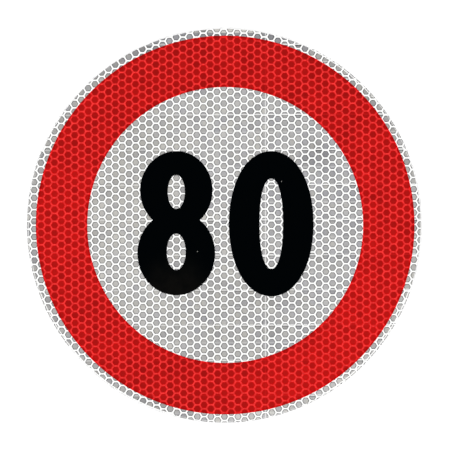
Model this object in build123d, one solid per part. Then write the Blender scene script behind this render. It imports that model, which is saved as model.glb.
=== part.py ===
import os
from math import sqrt

from build123d import *

# A round self-adhesive speed disc of reflective sheeting, in millimetres. It lies flat: +Z is the way
# the printed face looks, +Y is the numerals' up, and the origin is the middle of the adhesive back.

# The sheeting
sheet_diameter = 200.0
sheet_thickness = 0.45
cut_edge_break = 0.08

# The seal line: a fine V pressed all round the face, just inside the cut edge
seal_line_inset = 0.55
seal_line_width = 0.2
seal_line_depth = 0.05

# The honeycomb pressed into the face. A cell is a six-sided dimple with flats at its top and bottom, and
# its sides meet the next cell's on the middle of the wall between them. The pattern is placed by the
# cell nearest the disc's centre, and it is turned a touch against the print.
cell_pitch = 3.96
cell_depth = 0.12
cell_middle_x = -0.19
cell_middle_y = -1.79
cell_turn = 0.13

# The print: fields of colour on the face, all of them a little off the centre of the cut edge
print_thickness = 0.06
print_shift_x = 0.4
print_shift_y = 0.1

# The red ring, inside a white margin
margin_width = 4.2
ring_width = 26.0

# Both numerals share a top line, and stand either side of a gap
numeral_top = 37.4
numeral_gap = 7.0
numeral_gap_x = -1.6

# The eight: two oval lobes that cross at its waist, each with an oval counter set towards the waist
eight_waist_overlap = 9.1
eight_upper_width = 36.6
eight_upper_height = 39.7
eight_lower_width = 39.3
eight_lower_height = 42.3
eight_upper_counter_width = 8.7
eight_upper_counter_height = 17.3
eight_lower_counter_width = 9.6
eight_lower_counter_height = 18.5
eight_counter_towards_waist = 0.8

# The zero: two upright ovals. Fullness is how far a quarter's handles reach towards its corner: 0.552
# gives an ellipse, and more fills the corners.
zero_width = 42.8
zero_height = 73.5
zero_fullness = 0.58
zero_counter_width = 12.0
zero_counter_height = 45.8
zero_counter_fullness = 0.607

sheet_radius = sheet_diameter / 2
seal_radius = sheet_radius - seal_line_inset
ring_outer_radius = sheet_radius - margin_width
ring_inner_radius = ring_outer_radius - ring_width
cell_side = cell_pitch / sqrt(3)


def ring_outline():
    return Pos(print_shift_x, print_shift_y) * (Circle(ring_outer_radius) - Circle(ring_inner_radius))


def eight_outline():
    x = print_shift_x + numeral_gap_x - (numeral_gap + eight_lower_width) / 2
    top = print_shift_y + numeral_top
    upper = Pos(x, top - eight_upper_height / 2)
    lower = Pos(x, top - eight_upper_height + eight_waist_overlap - eight_lower_height / 2)
    upper_counter = upper * Pos(0, -eight_counter_towards_waist)
    lower_counter = lower * Pos(0, eight_counter_towards_waist)
    return (
        upper * Ellipse(eight_upper_width / 2, eight_upper_height / 2)
        + lower * Ellipse(eight_lower_width / 2, eight_lower_height / 2)
        - upper_counter * Ellipse(eight_upper_counter_width / 2, eight_upper_counter_height / 2)
        - lower_counter * Ellipse(eight_lower_counter_width / 2, eight_lower_counter_height / 2)
    )


def full_oval(width, height, fullness):
    """The rim of an oval of four like quarters, one curve each."""
    side, top = width / 2, height / 2
    quarters = []
    for right, up in ((1, 1), (-1, 1), (-1, -1), (1, -1)):
        handles = ((right * side, up * fullness * top), (right * fullness * side, up * top))
        quarters.append(Bezier((right * side, 0), *handles, (0, up * top)))
    return Wire([edge for quarter in quarters for edge in quarter.edges()])


def zero_outline():
    x = print_shift_x + numeral_gap_x + (numeral_gap + zero_width) / 2
    middle = Pos(x, print_shift_y + numeral_top - zero_height / 2)
    outside = full_oval(zero_width, zero_height, zero_fullness)
    counter = full_oval(zero_counter_width, zero_counter_height, zero_counter_fullness)
    return middle * Face(outside, [counter])


def printed(outline):
    """A field of print, laid on the face."""
    return extrude(Pos(0, 0, sheet_thickness) * outline, amount=print_thickness)


def lattice_point(across, up, height=0.0):
    """A point of the honeycomb, counted from its first cell in halves of a side and of a pitch."""
    step = Vector(across * cell_side / 2, up * cell_pitch / 2)
    return Vector(cell_middle_x, cell_middle_y, height) + step.rotate(Axis.Z, cell_turn)


def walls(cell):
    """The six walls of a cell, each from one corner to the next, anticlockwise."""
    across, up = cell
    steps = ((2, 0), (1, 1), (-1, 1), (-2, 0), (-1, -1), (1, -1))
    corners = [(across + step_across, up + step_up) for step_across, step_up in steps]
    return list(zip(corners, corners[1:] + corners[:1]))


def cells_that_show(radius, outlines):
    """The cells that lie whole within a radius, without those that print hides as far as their middle."""
    fields = [face for outline in outlines for face in outline.faces()]
    columns = int(radius / cell_side) + 2
    rows = int(radius / cell_pitch) + 2
    cells = []
    for column in range(-columns, columns + 1):
        for row in range(-rows, rows + 1):
            cell = (3 * column, 2 * row + column % 2)
            if any(lattice_point(*corner).length > radius for corner, _ in walls(cell)):
                continue
            if not any(field.is_inside(lattice_point(*cell)) for field in fields):
                cells.append(cell)
    return cells


def rims(cells):
    """The closed rims round groups of cells, made of the walls that only one of the cells has."""
    every_wall = {wall for cell in cells for wall in walls(cell)}
    ahead = {start: end for start, end in every_wall if (end, start) not in every_wall}
    found = []
    while ahead:
        rim = [min(ahead)]
        while rim[-1] in ahead:
            rim.append(ahead.pop(rim[-1]))
        found.append(rim[:-1])
    return found


def land_between(face, cells):
    """What is left flat of a face: cells lie inside the anticlockwise rims, and land inside the others."""
    height = face.center().Z
    corners = [[lattice_point(*corner, height) for corner in rim] for rim in rims(cells)]
    patches = [Face(Wire.make_polygon(points)) for points in corners]
    land = face
    for patch in sorted(patches, key=lambda patch: patch.area, reverse=True):
        if patch.normal_at().Z > 0:
            land = land - patch
        else:
            land = land + -patch
    return land.faces()


def dimple(cell, height):
    """The six sloping sides of one cell, from its middle up to its walls."""
    middle = lattice_point(*cell, height - cell_depth)
    sides = [[lattice_point(*corner, height) for corner in wall] for wall in walls(cell)]
    return [Face(Wire.make_polygon([middle, *side])) for side in sides]


def reflective_sheet():
    """One round of sheeting, with its edge, its seal line and the cells that show."""
    half_seal = seal_line_width / 2
    section = make_face(
        Polyline(
            (0, 0),
            (sheet_radius, 0),
            (sheet_radius, sheet_thickness - cut_edge_break),
            (sheet_radius - cut_edge_break, sheet_thickness),
            (seal_radius + half_seal, sheet_thickness),
            (seal_radius, sheet_thickness - seal_line_depth),
            (seal_radius - half_seal, sheet_thickness),
            (0, sheet_thickness),
            close=True,
        )
    )
    blank = revolve(Plane.XZ * section, Axis.Z)
    top = blank.faces().group_by(Axis.Z)[-1].sort_by(SortBy.AREA)[-1]
    others = [face for face in blank.faces() if not face.is_same(top)]
    cells = cells_that_show(seal_radius - half_seal, [ring_outline(), eight_outline(), zero_outline()])
    dimples = [side for cell in cells for side in dimple(cell, sheet_thickness)]
    return Solid(Shell([*others, *land_between(top, cells), *dimples]))


os.makedirs("parts", exist_ok=True)
export_step(reflective_sheet(), "parts/reflective_sheet.step")
export_step(printed(ring_outline()), "parts/red_ring.step")
export_step(printed(eight_outline()), "parts/numeral_eight.step")
export_step(printed(zero_outline()), "parts/numeral_zero.step")
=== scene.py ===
from math import atan2, cos, degrees, hypot, pi, radians, sin, sqrt
from random import Random

import bmesh
import bpy
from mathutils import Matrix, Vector


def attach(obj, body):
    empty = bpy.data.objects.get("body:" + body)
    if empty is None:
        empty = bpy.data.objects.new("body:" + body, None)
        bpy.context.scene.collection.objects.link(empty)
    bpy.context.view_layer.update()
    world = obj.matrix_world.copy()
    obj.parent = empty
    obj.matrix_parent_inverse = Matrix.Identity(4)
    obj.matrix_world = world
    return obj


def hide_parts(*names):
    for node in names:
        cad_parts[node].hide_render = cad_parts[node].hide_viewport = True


# A round speed disc of honeycomb reflective sheeting, lying on its adhesive back: +Z is the way its
# printed face looks and +Y is the numerals' up. Sizes are in millimetres, as in the part, times MM.

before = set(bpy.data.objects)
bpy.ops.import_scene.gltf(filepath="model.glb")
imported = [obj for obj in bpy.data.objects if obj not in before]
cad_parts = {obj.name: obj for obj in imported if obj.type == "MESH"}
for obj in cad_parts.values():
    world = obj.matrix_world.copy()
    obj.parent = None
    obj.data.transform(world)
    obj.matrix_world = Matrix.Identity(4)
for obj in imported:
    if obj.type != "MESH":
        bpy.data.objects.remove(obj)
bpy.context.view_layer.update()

MM = 0.001

# The sheeting, with its cut edge and its seal line
sheet_radius = 100.0 * MM
sheet_top = 0.45 * MM
edge_break = 0.08 * MM
seal_radius = 99.45 * MM
seal_half_width = 0.1 * MM
seal_depth = 0.05 * MM
turned_steps = 256

# How far the body is sunk under the honeycomb, inside the seal line and outside it
pocket_depth = 0.1 * MM
edge_pocket_depth = 0.03 * MM

# The honeycomb
cell_pitch = 3.96 * MM
cell_side = cell_pitch / sqrt(3)
cell_middle = (-0.19 * MM, -1.79 * MM)
cell_turn = radians(0.13)
cell_depth = 0.05 * MM
edge_cell_depth = 0.02 * MM
corner_cut = 0.2 * MM

# Where a circle cuts a face on a longer line than the first of these, the cut gets two points more.
# Corners nearer than the second are welded, and edges shorter than the third are closed up.
short_cut = 0.8 * MM
weld_distance = 0.0001 * MM
least_edge = 0.001 * MM

# Each cell's own tone is one draw, whose seed goes up by a step for each count across the lattice
tone_seed = 80
tone_seed_step = 1009

# How far from the middle of a wall its flat top ends, and how wide a cell's sloping side is
white_wall_reach = 0.42 * MM
white_side_run = 0.28 * MM
red_wall_reach = 0.34 * MM
red_side_run = 0.3 * MM

# The seal line's white band: from angle to angle, the radius in millimetres at which the cells inside it
# stop, and whether a strip of cells shows again outside it
seal_bands = (
    (20, 42, 99.2, True),
    (42, 65, 98.95, True),
    (158, 180, 99.3, True),
    (180, 200, 99.1, True),
    (200, 217, 98.9, True),
    (217, 255, 98.95, False),
    (255, 300, 99.25, True),
    (300, 341, 98.8, True),
)
strip_start = 99.35 * MM
strip_end = 99.8 * MM

# The print, and the red ring
print_thickness = 0.06 * MM
print_middle = (0.4 * MM, 0.1 * MM)
ring_outer_radius = 95.8 * MM
ring_inner_radius = 69.8 * MM

# The ring's ink is fullest up to the first of these distances from its edges, and plain past the second
rim_full = 0.5 * MM
rim_fade = 1.2 * MM

# Soft spots of painted light and shade on the sheeting, each as x, y, full radius and faint radius in
# millimetres, and how much paler it is. The first is a painted sheen over everything, and the others lie
# over the middle field, the ring or the margin.
sheen_spot = (66, -68, 8, 55, 0.12)
field_light_and_shade = (
    (-48, 42, 10, 38, -0.08),
    (-6, 42, 6, 20, 0.06),
    (-44, -24, 8, 28, 0.07),
    (12, -44, 10, 36, -0.09),
    (46, 35, 5, 12, -0.24),
    (42, 26, 2, 9, 0.07),
)
ring_light_and_shade = (
    (-76, 2, 14, 40, 0.1),
    (-32, -86, 8, 30, -0.08),
    (28, -88, 8, 28, 0.09),
    (86, 4, 30, 60, 0.05),
)
margin_light_and_shade = (
    (38, -94, 18, 50, 0.27),
    (98, -2, 25, 65, 0.17),
    (-90, 40, 15, 45, -0.05),
    (-62, -78, 15, 35, 0.05),
    (-40, 88, 20, 50, -0.12),
    (78, -64, 10, 32, 0.1),
    (-25, 94, 6, 15, 0.2),
    (2, -97, 8, 24, 0.22),
    (-41, -88, 6, 16, -0.1),
)

# The whole margin is a little darker. Its top has a painted shade, dark and cool, and from a height
# upwards a painted glint, pale and warm, placed as the spots above.
margin_shade = -0.12
glint_start = 97.3 * MM
top_shade_spot = (-4, 97, 25, 55)
top_shade_tone = -0.22
top_shade_warmth = -1.2
glint_spot = (4, 98, 8, 15)
glint_tone = 0.4
glint_warmth = 1.0

# The sheeting's warmth, from 0 for its cool shade to 1 for its warm one: at the middle, and what the
# right edge, the margin and the palest cells add to it
middle_warmth = 0.56
right_edge_warmth = -0.48
margin_warmth = 0.12
pale_cell_warmth = 0.25

# The sheeting's mottle, each as its waves a metre, and what it adds to the tone and to the warmth
mottles = (
    (14.0, 0.12, 1.0),
    (160.0, 0.0, 2.5),
    (1500.0, 0.25, 0.0),
)

# How the bare and the red honeycomb take the sheeting's light and shade
white_spreads = {
    "Cell Spread": 0.17,
    "Tile Spread": 0.02,
    "Drift Across": -0.055,
    "Drift Down": 0.0,
    "Seam Shadow": 0.4,
}
red_spreads = {
    "Cell Spread": 0.17,
    "Tile Spread": 0.02,
    "Drift Across": 0.02,
    "Drift Down": 0.06,
    "Seam Shadow": 0.0,
}

# The moulded tiles, and the shares of a tile's height between which it turns from dark to pale
tile_sizes = {
    "Tile Height": 17.76 * MM,
    "First Seam": 2.63 * MM,
    "Seam Slope": 0.0045,
    "Upright Seam": 20.8 * MM,
    "Line Width": 0.55 * MM,
}
tile_turn = (0.35, 0.55)

# How strong the lines of the tiles are: the seams at their two ends, which lie this far left and right,
# the line across a tile's middle as a share of a seam, and the upright seam. A seam's shadow lies under
# it by so many line widths.
seam_end = 70 * MM
seam_strength_left = 0.3
seam_strength_right = 1.1
middle_line_share = 0.3
upright_seam_strength = 0.65
shadow_drop = 1.1

# Where seams are fainter, placed as the spots above, and by how much
faint_seams = ((58, -15, 9, 17), (44, -33, 12, 17))
faint_seam_loss = 0.5

# The ink: where it is thin, placed as the spots above, and its mottle there, as waves a metre
thin_ink = (-25, -34, 4, 24)
thin_ink_waves = 150.0
thin_ink_detail = 6.0

# The ink's pinholes: one a spacing, all but a share of them left out, and two wider ones, placed by their
# middles in millimetres
pinhole_spacing = 9 * MM
pinhole_radius = 0.16 * MM
pinhole_share = 0.4
wide_pinholes = ((28.9, 22.1), (-13.6, -13.3))
wide_pinhole_radius = 0.26 * MM

# The orange peel of clear film, each as its waves a metre and its height, and how strongly it shows
wall_peel = (600.0, 0.01 * MM)
cell_peel = (900.0, 0.01 * MM)
ink_peel = (500.0, 0.004 * MM)
peel_strength = 0.5

# The values of its noise between which a wall's grain goes from dark to pale
grain_range = (0.3, 0.7)

# The camera, straight above the disc. Its lens and sensor are in millimetres.
lens_length = 120.0
sensor_width = 36.0
seen_width = 227.85 * MM
seen_middle = (0.3 * MM, 0.1 * MM)

# The studio, in metres: a floor that shines for the camera, more and more between two distances from the
# disc, four lamps over it and four under it, and a faint light all round. Gloss sees white in directions
# below a height.
floor_opening = 99.5 * MM
floor_reach = 6.0
floor_white = (0.9, 0.9, 0.9)
near_floor = 0.5
far_floor = 2.0
near_floor_shine = 0.2
lamp_distance = 1.6
lamp_height = 1.5
lamp_size = 0.9
lamp_power = 18.55
faint_light = 0.04
white_below = 0.15

# What a face of the honeycomb is, and so which of its piece's materials it wears
WALL, SIDE, FLOOR = range(3)


def set_camera():
    data = bpy.data.cameras.new("camera")
    data.lens = lens_length
    data.sensor_width = sensor_width
    data.clip_start = 0.01
    camera = bpy.data.objects.new("camera", data)
    camera.location = (*seen_middle, seen_width * lens_length / sensor_width)
    bpy.context.scene.collection.objects.link(camera)
    bpy.context.scene.camera = camera


# Faces of the honeycomb


def lattice_point(across, up):
    """A point of the honeycomb, counted from its first cell in halves of a side and of a pitch."""
    x = across * cell_side / 2
    y = up * cell_pitch / 2
    return (
        cell_middle[0] + x * cos(cell_turn) - y * sin(cell_turn),
        cell_middle[1] + x * sin(cell_turn) + y * cos(cell_turn),
    )


def cells_near(centre, inner_radius, outer_radius):
    """The cells that touch the band between two radii, as their middles' counts in the lattice."""
    columns = int(outer_radius / cell_side) + 2
    rows = int(outer_radius / cell_pitch) + 2
    for column in range(-columns, columns + 1):
        for row in range(-rows, rows + 1):
            cell = (3 * column, 2 * row + column % 2)
            x, y = lattice_point(*cell)
            distance = hypot(x - centre[0], y - centre[1])
            if inner_radius - cell_side < distance < outer_radius + cell_side:
                yield cell


def hexagon(cell, apothem, height):
    """The corners of a hexagon round a cell's middle, anticlockwise."""
    x, y = lattice_point(*cell)
    reach = 2 * apothem / sqrt(3)
    angles = [cell_turn + k * pi / 3 for k in range(6)]
    return [Vector((x + reach * cos(a), y + reach * sin(a), height)) for a in angles]


def rounded_rim(cell, apothem, height):
    """The same with each corner cut: two points a corner, one on each side of it."""
    corners = hexagon(cell, apothem, height)
    rim = []
    for k, corner in enumerate(corners):
        for other in (corners[k - 1], corners[(k + 1) % 6]):
            rim.append(corner + (other - corner).normalized() * corner_cut)
    return rim


def cell_faces(cell, top, depth, wall_reach, side_run):
    """One cell as (kind, points): the walls round it on its half, its sloping sides and its floor."""
    outer = hexagon(cell, cell_pitch / 2, top)
    rim = rounded_rim(cell, cell_pitch / 2 - wall_reach, top)
    foot = rounded_rim(cell, cell_pitch / 2 - wall_reach - side_run, top - depth)
    faces = [(FLOOR, foot)]
    for k in range(6):
        here, there = 2 * k + 1, (2 * k + 2) % 12
        faces.append((WALL, [outer[k], outer[(k + 1) % 6], rim[there], rim[here]]))
        faces.append((WALL, [outer[k], rim[here], rim[here - 1]]))
    for k in range(12):
        after = (k + 1) % 12
        faces.append((SIDE, [rim[k], rim[after], foot[after], foot[k]]))
    return faces


# Cutting faces to a circle


def crossing(a, b, centre, radius, height):
    """Where the line from a to b crosses a circle."""
    start = Vector((a.x - centre[0], a.y - centre[1]))
    run = Vector((b.x - a.x, b.y - a.y))
    half = start.dot(run) / run.length_squared
    rest = (start.length_squared - radius**2) / run.length_squared
    root = sqrt(max(half**2 - rest, 0.0))
    share = min((-half - root, -half + root), key=lambda t: abs(t - 0.5))
    return Vector((a.x + share * run.x, a.y + share * run.y, height))


def arc(a, b, centre, radius):
    """Two points on a circle between two others."""
    start = atan2(a.y - centre[1], a.x - centre[0])
    turn = atan2(b.y - centre[1], b.x - centre[0]) - start
    turn = (turn + pi) % (2 * pi) - pi
    angles = [start + turn * share for share in (1 / 3, 2 / 3)]
    return [Vector((centre[0] + radius * cos(t), centre[1] + radius * sin(t), a.z)) for t in angles]


def cut_round(points, centre, radius, inside, height):
    """What is left of a face inside or outside a circle, with the cut laid along it at a height."""
    kept = [(hypot(p.x - centre[0], p.y - centre[1]) <= radius) == inside for p in points]
    if all(kept):
        return points
    if not any(kept):
        return []
    first = next(k for k in range(len(points)) if kept[k] and not kept[k - 1])
    points = points[first:] + points[:first]
    kept = kept[first:] + kept[:first]
    left = [p for p, keep in zip(points, kept) if keep]
    last_kept = max(k for k, keep in enumerate(kept) if keep)
    leaving = crossing(points[last_kept], points[last_kept + 1], centre, radius, height)
    coming = crossing(points[-1], points[0], centre, radius, height)
    between = arc(leaving, coming, centre, radius) if (coming - leaving).length > short_cut else []
    return left + [leaving, *between, coming]


def honeycomb(centre, inner_radius, outer_radius, top, depth, wall_reach, side_run):
    """The honeycomb's faces in the band between two circles, as (kind, cell, points)."""
    faces = []
    for cell in cells_near(centre, inner_radius, outer_radius):
        for kind, points in cell_faces(cell, top, depth, wall_reach, side_run):
            points = cut_round(points, centre, outer_radius, True, top)
            if points and inner_radius:
                points = cut_round(points, centre, inner_radius, False, top)
            if points:
                faces.append((kind, cell, points))
    return faces


# Meshes


def cell_tone(cell):
    """How pale a cell is beside its neighbours, from -1 to 1, and the same for every piece."""
    chance = Random(tone_seed + tone_seed_step * cell[0] + cell[1])
    return chance.triangular(-1, 1, 0)


def link(name, mesh):
    piece = bpy.data.objects.new(name, mesh)
    bpy.context.scene.collection.objects.link(piece)
    return piece


def honeycomb_piece(name, faces, finishes, foot=None):
    """A mesh of honeycomb faces, with the finishes of its walls, its sides and its floors.

    Where a foot's height is given, a skirt round its edges goes down to it.
    """
    work = bmesh.new()
    tone = work.faces.layers.float.new("cell_tone")
    for kind, cell, points in faces:
        face = work.faces.new([work.verts.new(p) for p in points])
        face.material_index = kind
        face[tone] = cell_tone(cell)
    bmesh.ops.remove_doubles(work, verts=work.verts, dist=weld_distance)
    bmesh.ops.dissolve_degenerate(work, dist=least_edge, edges=work.edges)
    if foot is not None:
        edges = [edge for edge in work.edges if edge.is_boundary]
        skirt = bmesh.ops.extrude_edge_only(work, edges=edges)["geom"]
        for corner in skirt:
            if isinstance(corner, bmesh.types.BMVert):
                corner.co.z = foot
    mesh = bpy.data.meshes.new(name)
    work.to_mesh(mesh)
    work.free()
    for finish in finishes:
        mesh.materials.append(finish)
    return link(name, mesh)


def turned(name, section):
    """A closed body turned about Z from points of (radius, height), flat at both ends."""
    work = bmesh.new()
    angles = [2 * pi * k / turned_steps for k in range(turned_steps)]
    rings = [[work.verts.new((r * cos(a), r * sin(a), z)) for a in angles] for r, z in section]
    for low, high in zip(rings, rings[1:]):
        for k in range(turned_steps):
            work.faces.new((low[k - 1], low[k], high[k], high[k - 1]))
    work.faces.new(rings[0][::-1])
    work.faces.new(rings[-1])
    mesh = bpy.data.meshes.new(name)
    work.to_mesh(mesh)
    work.free()
    return link(name, mesh)


# Shader nodes


def add(tree, kind, **values):
    """A node with its settings."""
    node = tree.nodes.new(kind)
    for name, value in values.items():
        setattr(node, name, value)
    return node


def put(tree, value, socket):
    """Give a socket an output, a colour or a number."""
    if isinstance(value, bpy.types.NodeSocket):
        tree.links.new(value, socket)
    elif isinstance(value, tuple):
        socket.default_value = (*value, 1.0)
    else:
        socket.default_value = value


def value_of(tree, operation, a, b=0.0, c=0.0):
    """A Math node's output. Each of a, b and c is a number or an output."""
    node = add(tree, "ShaderNodeMath", operation=operation)
    for value, socket in zip((a, b, c), node.inputs):
        put(tree, value, socket)
    return node.outputs[0]


def summed(tree, value, parts):
    """A value plus the product of each pair of parts."""
    for part, amount in parts:
        value = value_of(tree, "MULTIPLY_ADD", part, amount, value)
    return value


def mixed(tree, factor, a, b, blend="MIX"):
    """A colour between a and b. Each is an output or a colour."""
    node = add(tree, "ShaderNodeMix", data_type="RGBA", blend_type=blend)
    sockets = {socket.identifier: socket for socket in [*node.inputs, *node.outputs]}
    put(tree, factor, sockets["Factor_Float"])
    put(tree, a, sockets["A_Color"])
    put(tree, b, sockets["B_Color"])
    return sockets["Result_Color"]


def eased(tree, value, start, end, at_start=0.0, at_end=1.0):
    """A value that eases from at_start to at_end while another goes from start to end."""
    ramp = add(tree, "ShaderNodeMapRange", interpolation_type="SMOOTHSTEP")
    given = {"Value": value, "From Min": start, "From Max": end, "To Min": at_start, "To Max": at_end}
    for label, number in given.items():
        put(tree, number, ramp.inputs[label])
    return ramp.outputs[0]


def scaled(tree, colour, by):
    """A colour times a value."""
    node = add(tree, "ShaderNodeVectorMath", operation="SCALE")
    put(tree, colour, node.inputs[0])
    put(tree, by, node.inputs["Scale"])
    return node.outputs[0]


def new_group(name, inputs, outputs):
    """An empty node group with number inputs and outputs, then what it is given and what it fills."""
    group = bpy.data.node_groups.new(name, "ShaderNodeTree")
    for label in inputs:
        group.interface.new_socket(label, in_out="INPUT", socket_type="NodeSocketFloat")
    for label in outputs:
        group.interface.new_socket(label, in_out="OUTPUT", socket_type="NodeSocketFloat")
    return group, add(group, "NodeGroupInput").outputs, add(group, "NodeGroupOutput").inputs


def placed(tree, group, values):
    """What a group puts out in a tree, where its inputs have these values."""
    node = add(tree, "ShaderNodeGroup", node_tree=group)
    for label, value in values.items():
        put(tree, value, node.inputs[label])
    return node.outputs


def place_in(tree):
    """A point's place on the disc or on the floor."""
    return add(tree, "ShaderNodeTexCoord").outputs["Object"]


def split(tree, vector):
    """The three numbers of a place, a direction or a colour."""
    node = add(tree, "ShaderNodeSeparateXYZ")
    put(tree, vector, node.inputs[0])
    return node.outputs


def noise(tree, place, waves, detail=2.0):
    """A noise of so many waves a metre."""
    node = add(tree, "ShaderNodeTexNoise")
    put(tree, place, node.inputs["Vector"])
    put(tree, waves, node.inputs["Scale"])
    put(tree, detail, node.inputs["Detail"])
    return node.outputs[0]


def line_at(tree, coordinate, place, half_width):
    """A mask that is 1 within half_width of a place."""
    away = value_of(tree, "ABSOLUTE", value_of(tree, "SUBTRACT", coordinate, place))
    return value_of(tree, "LESS_THAN", away, half_width)


def distance_from(tree, place, centre):
    """How far a place is from a point on the sheeting's face."""
    away = add(tree, "ShaderNodeVectorMath", operation="DISTANCE")
    put(tree, place, away.inputs[0])
    away.inputs[1].default_value = (*centre, sheet_top)
    return away.outputs["Value"]


def soft_spot(tree, place, x, y, full_radius, faint_radius):
    """A mask that is 1 near a point and fades to 0 round it. All its lengths are in millimetres."""
    away = distance_from(tree, place, (x * MM, y * MM))
    return eased(tree, away, full_radius * MM, faint_radius * MM, 1.0, 0.0)


def with_spots(tree, place, tone, spots):
    """A tone with soft spots added to it."""
    return summed(tree, tone, [(soft_spot(tree, place, *spot), change) for *spot, change in spots])


# Effects that several materials share


def tile_group():
    """The moulded tiles that the sheeting is joined from.

    Tone is dark over a tile's upper half and pale over its lower one. Seam is the pale line between
    tiles, with a fainter one across their middle, and Shadow the dark line under a seam.
    """
    group, given, out = new_group("moulded_tiles", tile_sizes, ["Tone", "Seam", "Shadow"])
    place = place_in(group)
    x, y, _ = split(group, place)
    height = given["Tile Height"]
    half_line = value_of(group, "MULTIPLY", given["Line Width"], 0.5)
    seam_level = value_of(group, "MULTIPLY_ADD", x, given["Seam Slope"], given["First Seam"])
    drop = value_of(group, "SUBTRACT", seam_level, y)
    share = value_of(group, "FRACT", value_of(group, "DIVIDE", drop, height))
    below = value_of(group, "MULTIPLY", share, height)
    group.links.new(eased(group, share, *tile_turn, -1.0, 1.0), out["Tone"])

    from_seam = value_of(group, "MULTIPLY", value_of(group, "PINGPONG", share, 0.5), height)
    seam = value_of(group, "LESS_THAN", from_seam, half_line)
    middle = line_at(group, below, value_of(group, "MULTIPLY", height, 0.5), half_line)
    upright = line_at(group, x, given["Upright Seam"], half_line)
    strength = eased(group, x, -seam_end, seam_end, seam_strength_left, seam_strength_right)
    faint = [(soft_spot(group, place, *spot), -faint_seam_loss) for spot in faint_seams]
    strength = summed(group, strength, faint)
    lines = value_of(group, "MULTIPLY_ADD", middle, middle_line_share, seam)
    lines = value_of(group, "MULTIPLY", lines, strength)
    upright = value_of(group, "MULTIPLY", upright, upright_seam_strength)
    lines = value_of(group, "MAXIMUM", lines, upright)
    group.links.new(value_of(group, "MINIMUM", lines, 1.0), out["Seam"])

    shadow_level = value_of(group, "MULTIPLY", given["Line Width"], shadow_drop)
    shadow = line_at(group, below, shadow_level, half_line)
    group.links.new(value_of(group, "MULTIPLY", shadow, strength), out["Shadow"])
    return group


def sheeting_group(tiles):
    """How pale and how warm the honeycomb is from place to place.

    Tone is a multiplier, much of it painted light and shade: a shadow under each seam, a sheen, soft
    pale and dark spots, and a shade and a glint at the top of the margin, which also make it cooler and
    warmer there. Warmth is 0 for the cool shade and 1 for the warm one, and Seam marks the lines between
    tiles.
    """
    group, given, out = new_group("sheeting_light", white_spreads, ["Tone", "Warmth", "Seam"])
    place = place_in(group)
    x, y, _ = split(group, place)
    across = value_of(group, "DIVIDE", x, sheet_radius)
    down = value_of(group, "DIVIDE", y, -sheet_radius)
    cell = add(group, "ShaderNodeAttribute", attribute_name="cell_tone").outputs["Fac"]
    tile = placed(group, tiles, tile_sizes)

    from_middle = distance_from(group, place, print_middle)
    margin = value_of(group, "GREATER_THAN", from_middle, ring_outer_radius)
    field = value_of(group, "LESS_THAN", from_middle, ring_inner_radius)
    within = value_of(group, "SUBTRACT", 1.0, margin)
    ring = value_of(group, "SUBTRACT", within, field)
    # Painted shade over the top of the margin, and above a height a painted glint
    pale = value_of(group, "GREATER_THAN", y, glint_start)
    glint = value_of(group, "MULTIPLY", soft_spot(group, place, *glint_spot), pale)
    dark = value_of(group, "SUBTRACT", margin, pale)
    top_shade = value_of(group, "MULTIPLY", soft_spot(group, place, *top_shade_spot), dark)

    # Painted light and shade: the shadow under each seam, a painted sheen over everything, and below it
    # the painted spots over the field, the ring and the margin
    shadow = value_of(group, "MULTIPLY", tile["Shadow"], given["Seam Shadow"])
    tone = value_of(group, "SUBTRACT", 1.0, shadow)
    tone = with_spots(group, place, tone, [sheen_spot])
    tone_parts = [
        (cell, given["Cell Spread"]),
        (tile["Tone"], given["Tile Spread"]),
        (across, given["Drift Across"]),
        (down, given["Drift Down"]),
        (field, with_spots(group, place, 0.0, field_light_and_shade)),
        (ring, with_spots(group, place, 0.0, ring_light_and_shade)),
        (margin, with_spots(group, place, margin_shade, margin_light_and_shade)),
        (top_shade, top_shade_tone),
        (glint, glint_tone),
    ]
    warmth_parts = [
        (value_of(group, "MULTIPLY", across, within), right_edge_warmth),
        (margin, margin_warmth),
        (cell, pale_cell_warmth),
        (top_shade, top_shade_warmth),
        (glint, glint_warmth),
    ]
    for waves, in_tone, in_warmth in mottles:
        mottle = value_of(group, "SUBTRACT", noise(group, place, waves), 0.5)
        tone_parts.append((mottle, in_tone))
        warmth_parts.append((mottle, in_warmth))
    group.links.new(summed(group, tone, tone_parts), out["Tone"])
    clamp = add(group, "ShaderNodeClamp")
    group.links.new(summed(group, middle_warmth, warmth_parts), clamp.inputs[0])
    group.links.new(clamp.outputs[0], out["Warmth"])
    group.links.new(tile["Seam"], out["Seam"])
    return group


def rim_group():
    """A mask of the ring's two edges, where the ink is fuller."""
    group, given, out = new_group("print_rims", ["Inner Radius", "Outer Radius"], ["Rim"])
    from_middle = distance_from(group, place_in(group), print_middle)
    from_inner = value_of(group, "SUBTRACT", from_middle, given["Inner Radius"])
    from_outer = value_of(group, "SUBTRACT", given["Outer Radius"], from_middle)
    from_edge = value_of(group, "MINIMUM", from_inner, from_outer)
    group.links.new(eased(group, from_edge, rim_full, rim_fade, 1.0, 0.0), out["Rim"])
    return group


def film_group():
    """What clear film does to a surface: Grain is a soft mottle, and Peel the height of its peel."""
    group, given, out = new_group("film_surface", ["Grain Waves", "Peel Waves"], ["Grain", "Peel"])
    place = place_in(group)
    grain = noise(group, place, given["Grain Waves"])
    group.links.new(eased(group, grain, *grain_range), out["Grain"])
    group.links.new(noise(group, place, given["Peel Waves"]), out["Peel"])
    return group


# Materials


def new_material(name, roughness, specular):
    """A material, its tree and its Principled shader."""
    material = bpy.data.materials.new(name)
    material.use_nodes = True
    shader = material.node_tree.nodes["Principled BSDF"]
    shader.inputs["Roughness"].default_value = roughness
    shader.inputs["Specular IOR Level"].default_value = specular
    return material, material.node_tree, shader


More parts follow.
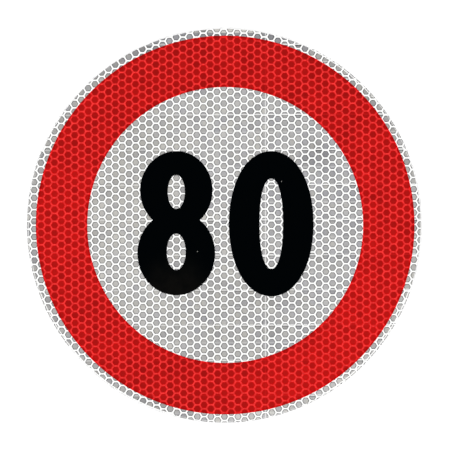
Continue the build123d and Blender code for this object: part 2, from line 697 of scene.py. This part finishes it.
def lay_film(tree, shader, film, peel, grain_waves=0.0):
    """Clear film over a material, with its faint orange peel. What comes back is the film's grain."""
    peel_waves, peel_height = peel
    surface = placed(tree, film, {"Grain Waves": grain_waves, "Peel Waves": peel_waves})
    bump = add(tree, "ShaderNodeBump")
    bump.inputs["Distance"].default_value = peel_height
    bump.inputs["Strength"].default_value = peel_strength
    tree.links.new(surface["Peel"], bump.inputs["Height"])
    tree.links.new(bump.outputs[0], shader.inputs["Normal"])
    return surface["Grain"]


def wall_material(name, film, pale, dark, grain_waves=400.0, roughness=0.3):
    """A flat surface under the film, in two shades mixed by its grain."""
    material, tree, shader = new_material(name, roughness, specular=0.25)
    grain = lay_film(tree, shader, film, wall_peel, grain_waves)
    tree.links.new(mixed(tree, grain, dark, pale), shader.inputs["Base Color"])
    return material


def cell_material(name, film, sheeting, spreads, warm, cool, seam, seam_share, specular=0.25):
    """A cell's floor or side: two shades by place, and a paler line where tiles meet."""
    material, tree, shader = new_material(name, roughness=0.35, specular=specular)
    light = placed(tree, sheeting, spreads)
    shade = scaled(tree, mixed(tree, light["Warmth"], cool, warm), light["Tone"])
    line = value_of(tree, "MULTIPLY", light["Seam"], seam_share)
    tree.links.new(mixed(tree, line, shade, seam), shader.inputs["Base Color"])
    lay_film(tree, shader, film, cell_peel)
    return material


def fuller_rims(material, rims, tint):
    """The same material with its colour deepened by a tint along the ring's edges."""
    tree = material.node_tree
    colour = tree.nodes["Principled BSDF"].inputs["Base Color"]
    plain = colour.links[0].from_socket
    radii = {"Inner Radius": ring_inner_radius, "Outer Radius": ring_outer_radius}
    rim = placed(tree, rims, radii)["Rim"]
    tree.links.new(mixed(tree, rim, plain, tint, "MULTIPLY"), colour)
    return material


def pinholes(tree, place):
    """A mask of tiny holes in ink, the scattered ones and the wider ones."""
    spots = add(tree, "ShaderNodeTexVoronoi")
    put(tree, place, spots.inputs["Vector"])
    put(tree, 1 / pinhole_spacing, spots.inputs["Scale"])
    near = value_of(tree, "LESS_THAN", spots.outputs["Distance"], pinhole_radius / pinhole_spacing)
    chance = split(tree, spots.outputs["Color"])[0]
    holes = value_of(tree, "MULTIPLY", near, value_of(tree, "LESS_THAN", chance, pinhole_share))
    for x, y in wide_pinholes:
        away = distance_from(tree, place, (x * MM, y * MM))
        wide = value_of(tree, "LESS_THAN", away, wide_pinhole_radius)
        holes = value_of(tree, "MAXIMUM", holes, wide)
    return holes


def ink_material(name, film, deep, thin, hole):
    """Opaque ink under the film, thinner at one place and with a few pinholes."""
    material, tree, shader = new_material(name, roughness=0.2, specular=0.1)
    place = place_in(tree)
    mottle = noise(tree, place, thin_ink_waves, thin_ink_detail)
    patches = value_of(tree, "MULTIPLY", soft_spot(tree, place, *thin_ink), mottle)
    shade = mixed(tree, patches, deep, thin)
    tree.links.new(mixed(tree, pinholes(tree, place), shade, hole), shader.inputs["Base Color"])
    lay_film(tree, shader, film, ink_peel)
    return material


def white_cells(film, sheeting):
    """The finishes of the bare honeycomb's walls, sides and floors."""
    walls = wall_material("white_wall", film, pale=(1.0, 1.0, 0.99), dark=(0.985, 0.985, 0.975))
    # The sides are painted shade: a dark rim round each cell, where its floor sinks below the walls
    sides = cell_material(
        "cell_side",
        film,
        sheeting,
        white_spreads,
        warm=(0.07, 0.07, 0.068),
        cool=(0.062, 0.064, 0.068),
        seam=(0.7, 0.7, 0.7),
        seam_share=0.9,
    )
    floors = cell_material(
        "cell_floor",
        film,
        sheeting,
        white_spreads,
        warm=(0.455, 0.445, 0.42),
        cool=(0.404, 0.402, 0.422),
        seam=(0.95, 0.95, 0.94),
        seam_share=0.95,
    )
    return walls, sides, floors


def red_cells(film, sheeting, rims):
    """The finishes of the red ring's walls, sides and floors."""
    walls = wall_material("red_wall", film, (0.97, 0.04, 0.038), (0.64, 0.02, 0.02), grain_waves=1100.0)
    sides = cell_material(
        "red_side",
        film,
        sheeting,
        red_spreads,
        warm=(0.57, 0.0005, 0.0002),
        cool=(0.55, 0.0003, 0.0001),
        seam=(0.65, 0.01, 0.01),
        seam_share=0.5,
        specular=0.12,
    )
    floors = cell_material(
        "red_floor",
        film,
        sheeting,
        red_spreads,
        warm=(0.391, 0.0055, 0.0045),
        cool=(0.377, 0.005, 0.004),
        seam=(0.6, 0.01, 0.01),
        seam_share=0.5,
        specular=0.12,
    )
    return (
        fuller_rims(walls, rims, (1.0, 0.3, 0.35)),
        fuller_rims(sides, rims, (1.0, 0.3, 0.3)),
        fuller_rims(floors, rims, (0.97, 0.05, 0.05)),
    )


# The disc


def seal_band(cell):
    """Where the cells by a cell stop short of the seal line, and whether they show again outside it."""
    x, y = lattice_point(*cell)
    angle = degrees(atan2(y, x)) % 360
    for low, high, stop, strip in seal_bands:
        if low <= angle < high:
            return stop * MM, strip
    return None, False


def with_seal(faces):
    """The faces with each cell filled level beyond the radius where it stops."""
    done = []
    for kind, cell, points in faces:
        stop, _ = seal_band(cell)
        if stop is None or kind == WALL:
            done.append((kind, cell, points))
            continue
        within = cut_round(points, (0.0, 0.0), stop, True, sheet_top)
        beyond = cut_round(points, (0.0, 0.0), stop, False, sheet_top)
        if within:
            done.append((kind, cell, within))
        if beyond:
            done.append((WALL, cell, [Vector((p.x, p.y, sheet_top)) for p in beyond]))
    return done


def sheet_body(clear, adhesive):
    """The sheeting under the honeycomb, with its cut edge, its seal line and its adhesive back."""
    lip = sheet_radius - edge_break
    seal_inside = seal_radius - seal_half_width
    seal_outside = seal_radius + seal_half_width
    body = turned(
        "sheet_body",
        [
            (sheet_radius, 0.0),
            (sheet_radius, sheet_top - edge_break),
            (lip, sheet_top),
            (lip, sheet_top - edge_pocket_depth),
            (seal_outside, sheet_top - edge_pocket_depth),
            (seal_outside, sheet_top),
            (seal_radius, sheet_top - seal_depth),
            (seal_inside, sheet_top),
            (seal_inside, sheet_top - pocket_depth),
        ],
    )
    for finish in (clear, adhesive):
        body.data.materials.append(finish)
    back = min(body.data.polygons, key=lambda face: face.center.z)
    back.material_index = 1
    return body


def make_sheet(clear, adhesive, finishes):
    """The sheeting, with the honeycomb laid into it inside and outside the seal line."""
    shape = (white_wall_reach, white_side_run)
    seal_inside = seal_radius - seal_half_width
    field = honeycomb((0.0, 0.0), 0.0, seal_inside, sheet_top, cell_depth, *shape)
    edge = honeycomb((0.0, 0.0), strip_start, strip_end, sheet_top, edge_cell_depth, *shape)
    strip = [face for face in edge if seal_band(face[1])[1]]
    body = sheet_body(clear, adhesive)
    cells = honeycomb_piece("honeycomb", with_seal(field) + strip, finishes)
    for piece in (body, cells):
        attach(piece, "root")
        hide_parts("reflective_sheet")


def make_ring(finishes):
    """The red print, which follows the honeycomb under it."""
    top = sheet_top + print_thickness
    shape = (cell_depth, red_wall_reach, red_side_run)
    faces = honeycomb(print_middle, ring_inner_radius, ring_outer_radius, top, *shape)
    ring = honeycomb_piece("printed_ring", faces, finishes, sheet_top)
    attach(ring, "root")
    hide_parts("red_ring")


def dress_numerals(ink):
    for name in ("numeral_eight", "numeral_zero"):
        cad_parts[name].material_slots[0].material = ink


# The studio


def floor_material():
    """A white floor that keeps shadows, and shows white to the camera and in gloss."""
    material, tree, shader = new_material("white_floor", roughness=0.9, specular=0.0)
    shader.inputs["Base Color"].default_value = (*floor_white, 1.0)
    shader.inputs["Emission Color"].default_value = (1.0, 1.0, 1.0, 1.0)
    path = add(tree, "ShaderNodeLightPath").outputs
    seen = value_of(tree, "MAXIMUM", path["Is Camera Ray"], path["Is Glossy Ray"])
    seen = value_of(tree, "MAXIMUM", seen, path["Is Transmission Ray"])
    from_disc = distance_from(tree, place_in(tree), (0.0, 0.0))
    shine = eased(tree, from_disc, near_floor, far_floor, near_floor_shine, 1.0)
    tree.links.new(value_of(tree, "MULTIPLY", seen, shine), shader.inputs["Emission Strength"])
    return material


def make_floor():
    """A round floor, open where the disc covers it, so that the disc's back can be seen from below."""
    angles = [2 * pi * k / turned_steps for k in range(turned_steps)]
    radii = (floor_opening, floor_reach)
    points = [(radius * cos(a), radius * sin(a), 0.0) for radius in radii for a in angles]
    faces = []
    for k in range(turned_steps):
        after = (k + 1) % turned_steps
        faces.append((k, turned_steps + k, turned_steps + after, after))
    mesh = bpy.data.meshes.new("floor")
    mesh.from_pydata(points, [], faces)
    mesh.materials.append(floor_material())
    link("floor", mesh)


def make_lamps():
    """Broad lamps at one slant, over the floor and under it, so that each side is lit evenly."""
    for side, height in (("over", lamp_height), ("under", -lamp_height)):
        for k in range(4):
            angle = pi / 4 + k * pi / 2
            data = bpy.data.lights.new(f"lamp_{side}_{k}", "AREA")
            data.shape = "SQUARE"
            data.size = lamp_size
            data.energy = lamp_power
            lamp = bpy.data.objects.new(data.name, data)
            lamp.location = (lamp_distance * cos(angle), lamp_distance * sin(angle), height)
            lamp.rotation_euler = (-lamp.location).to_track_quat("-Z", "Y").to_euler()
            bpy.context.scene.collection.objects.link(lamp)


def make_world():
    """Faint even light, which the camera sees as white, and gloss too, but for what is overhead."""
    world = bpy.data.worlds.new("studio")
    bpy.context.scene.world = world
    world.use_nodes = True
    tree = world.node_tree
    sky = tree.nodes["Background"]
    sky.inputs["Color"].default_value = (1.0, 1.0, 1.0, 1.0)
    path = add(tree, "ShaderNodeLightPath").outputs
    seen = value_of(tree, "MAXIMUM", path["Is Camera Ray"], path["Is Transmission Ray"])
    direction = split(tree, add(tree, "ShaderNodeTexCoord").outputs["Generated"])
    beside = value_of(tree, "LESS_THAN", direction[2], white_below)
    gloss = value_of(tree, "MULTIPLY", path["Is Glossy Ray"], beside)
    white = value_of(tree, "MAXIMUM", seen, gloss)
    strength = value_of(tree, "MULTIPLY_ADD", white, 1.0 - faint_light, faint_light)
    tree.links.new(strength, sky.inputs["Strength"])


set_camera()
film = film_group()
sheeting = sheeting_group(tile_group())
clear = wall_material("clear_film", film, pale=(0.96, 0.96, 0.96), dark=(0.9, 0.9, 0.9))
adhesive = wall_material("adhesive", film, (0.75, 0.74, 0.72), (0.68, 0.67, 0.66), roughness=0.6)
ink = ink_material(
    "black_ink",
    film,
    deep=(0.0, 0.0006, 0.001),
    thin=(0.0064, 0.0057, 0.0046),
    hole=(0.25, 0.24, 0.22),
)
make_sheet(clear, adhesive, white_cells(film, sheeting))
make_ring(red_cells(film, sheeting, rim_group()))
dress_numerals(ink)
make_floor()
make_lamps()
make_world()
bpy.context.scene.view_settings.view_transform = "Standard"
